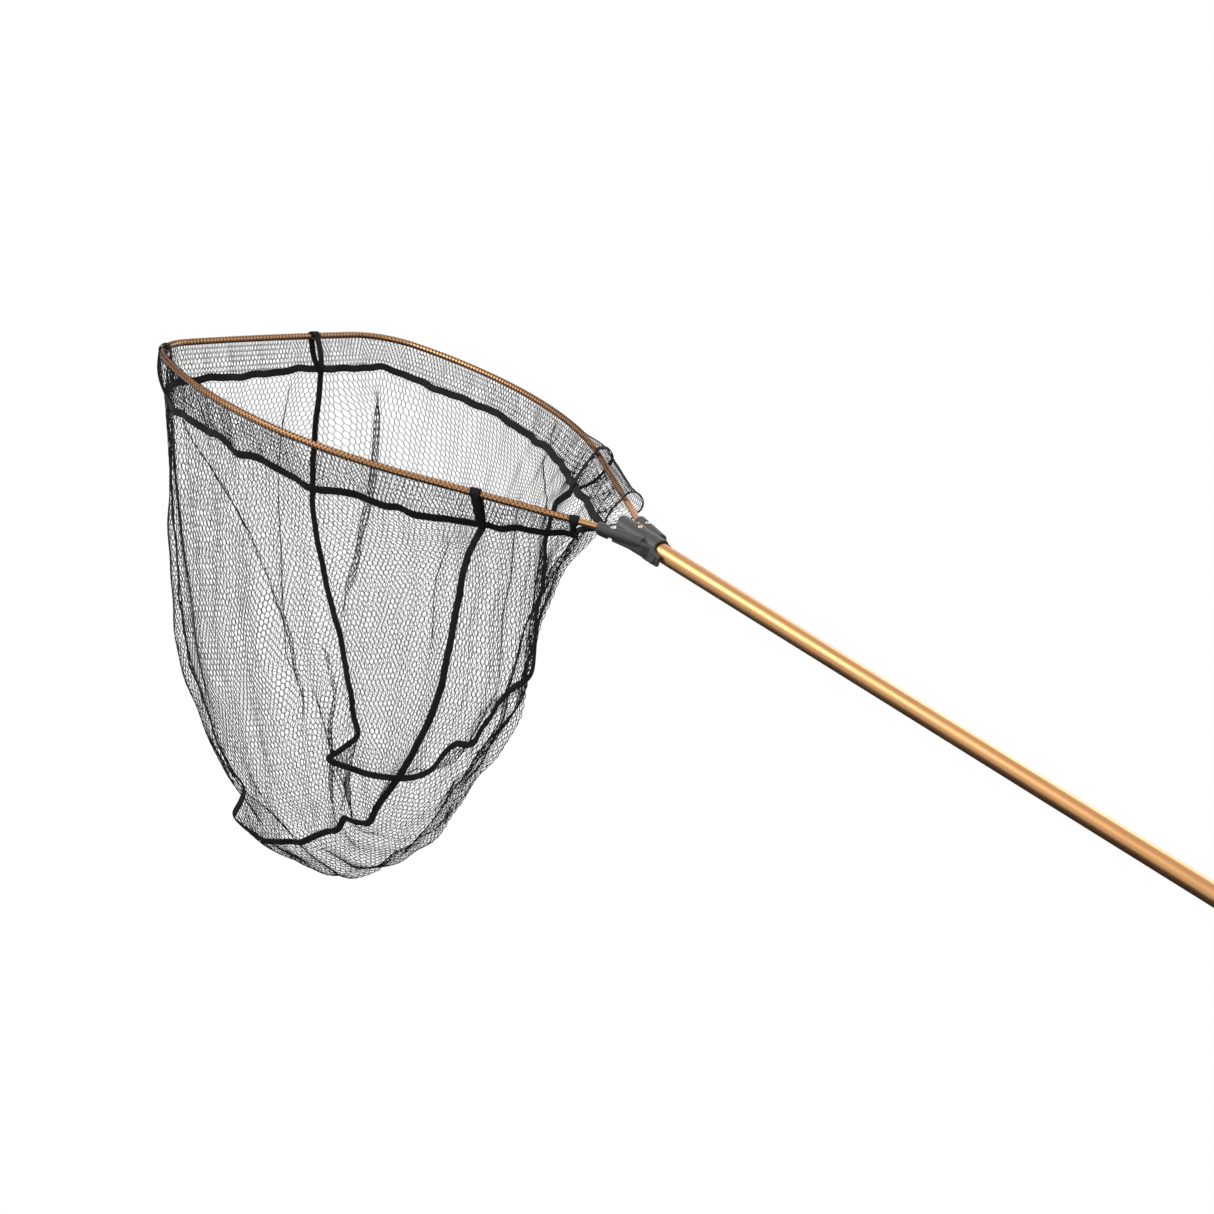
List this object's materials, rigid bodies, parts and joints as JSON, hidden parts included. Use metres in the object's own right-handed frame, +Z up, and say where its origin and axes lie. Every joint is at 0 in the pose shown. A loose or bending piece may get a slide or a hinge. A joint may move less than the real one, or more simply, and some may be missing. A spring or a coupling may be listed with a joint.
{
  "type": "landing net",
  "caption": "Folding landing net: rod hoop with a deep knitted mesh bag, moulded spreader block and telescopic tube handle with grip.",
  "frame": {"origin": "centre of the grip, on the handle's axis", "axes": "+Z up, +X from the net towards the butt, +Y to the side of the far seam; the handle climbs 20 degrees from the butt to the net"},
  "size_m": [1.8102, 0.4938, 0.7349],
  "materials": {
    "gold_tube": "satin gold anodised",
    "gold_rod": "satin gold anodised",
    "grey_moulding": "fine matt moulded",
    "dark_moulding": "fine matt moulded",
    "bush_plastic": "plain",
    "bright_steel": "bright",
    "foam_grip": "fine closed-cell foam",
    "netting": "knitted hexagonal mesh",
    "binding_tape": "woven tape"
  },
  "bodies": {
    "grip": {"inner_tube": "gold_tube", "slide_bush": "bush_plastic", "grip": "foam_grip", "butt_cap": "dark_moulding"},
    "handle": {"outer_tube": "gold_tube", "tube_plug": "dark_moulding", "collet": "bush_plastic"},
    "collar": {"twist_collar": "dark_moulding"},
    "head": {"spreader_block": "grey_moulding", "hoop": "gold_rod", "hoop_rivets": "bright_steel", "hinge_pin": "bright_steel", "pin_washers": "bright_steel", "button_seat": "bush_plastic", "button_spring": "bright_steel", "net_sleeve": "netting", "rim_tape": "binding_tape", "net_front_panel": "netting", "net_rear_panel": "netting", "net_near_panel": "netting", "net_far_panel": "netting", "net_bottom_panel": "netting", "seam_tape_near": "binding_tape", "seam_tape_far": "binding_tape", "loop_front_near": "binding_tape", "loop_front_far": "binding_tape", "loop_rear_near": "binding_tape", "loop_rear_far": "binding_tape", "sleeve_end_near": "binding_tape", "sleeve_end_far": "binding_tape"},
    "button": {"lock_button": "bright_steel"}
  },
  "joints": [
    {"name": "handle_extend", "type": "slide", "parent": "grip", "child": "handle", "axis": [-0.9397, 0, 0.342], "range_m": [0, 0.5]},
    {"name": "collar_twist", "type": "hinge", "parent": "handle", "child": "collar", "pos_m": [-0.1231, 0, 0.0448], "axis": [0.9397, 0, -0.342], "range_deg": [0, 90]},
    {"name": "head_fold", "type": "hinge", "parent": "handle", "child": "head", "pos_m": [-0.91168, 0, 0.32544], "axis": [0, -1, 0], "range_deg": [0, 165], "deforming": ["net_sleeve", "rim_tape", "net_front_panel", "net_rear_panel", "net_near_panel", "net_far_panel", "net_bottom_panel", "seam_tape_near", "seam_tape_far", "loop_front_near", "loop_front_far", "loop_rear_near", "loop_rear_far", "sleeve_end_near", "sleeve_end_far"]},
    {"name": "lock_button_press", "type": "slide", "parent": "head", "child": "button", "axis": [-0.342, 0, -0.9397], "range_m": [0, 0.0025], "stiffness_N_per_m": 600, "deforming": ["button_spring"]}
  ]
}
